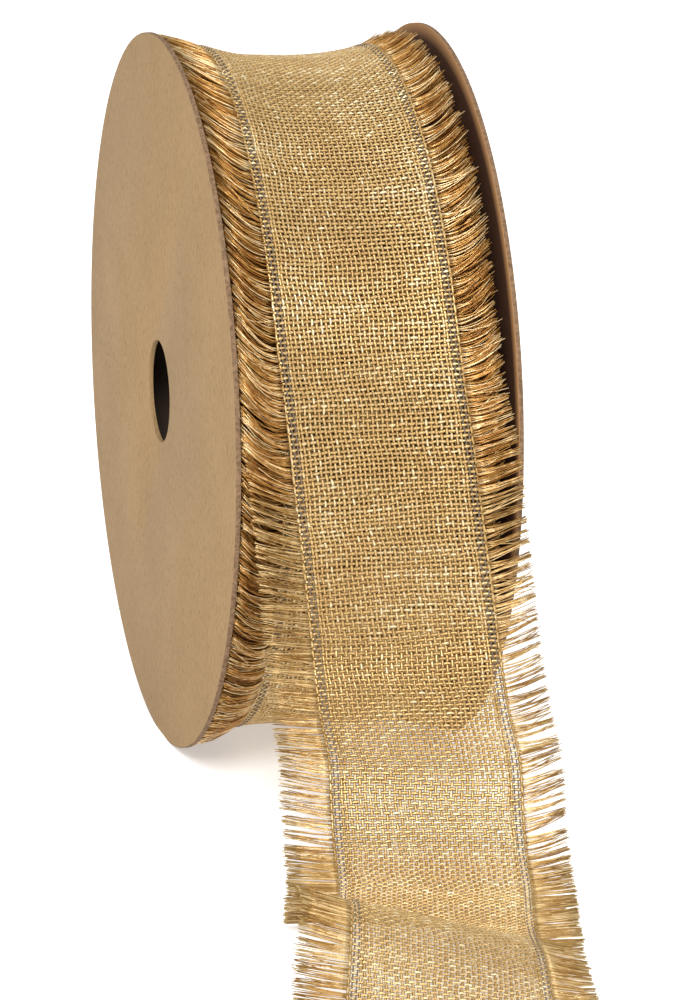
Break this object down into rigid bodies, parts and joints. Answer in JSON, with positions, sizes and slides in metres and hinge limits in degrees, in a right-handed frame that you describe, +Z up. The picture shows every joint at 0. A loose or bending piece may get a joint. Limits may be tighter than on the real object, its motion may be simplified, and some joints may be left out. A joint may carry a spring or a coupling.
{
  "type": "wired ribbon on a cardboard spool",
  "caption": "Open woven gold ribbon with wired, fringed edges, wound on a flanged cardboard spool, its loose end lying forward on the surface.",
  "frame": {"origin": "bottom centre of the whole object's box, on the surface that it stands on", "axes": "+Z up; the loose end runs along -Y; +X along the spool's axis, to the right as seen from the loose end"},
  "size_m": [0.0712, 0.2582, 0.1248],
  "materials": {
    "cardboard": "brown kraft board, uncoated and matt",
    "gold_weave": "open plain weave of fine gold metallic thread, with a slight shine",
    "gold_fringe": "loose fine gold metallic threads"
  },
  "bodies": {
    "root": {"flange_left": "cardboard", "flange_right": "cardboard", "core": "cardboard", "ribbon_roll": "gold_weave", "ribbon_tail": "gold_weave", "roll_fringe_left": "gold_fringe", "roll_fringe_right": "gold_fringe", "hanging_fringe_left": "gold_fringe", "hanging_fringe_right": "gold_fringe", "lying_fringe_left": "gold_fringe", "lying_fringe_right": "gold_fringe"}
  },
  "joints": []
}
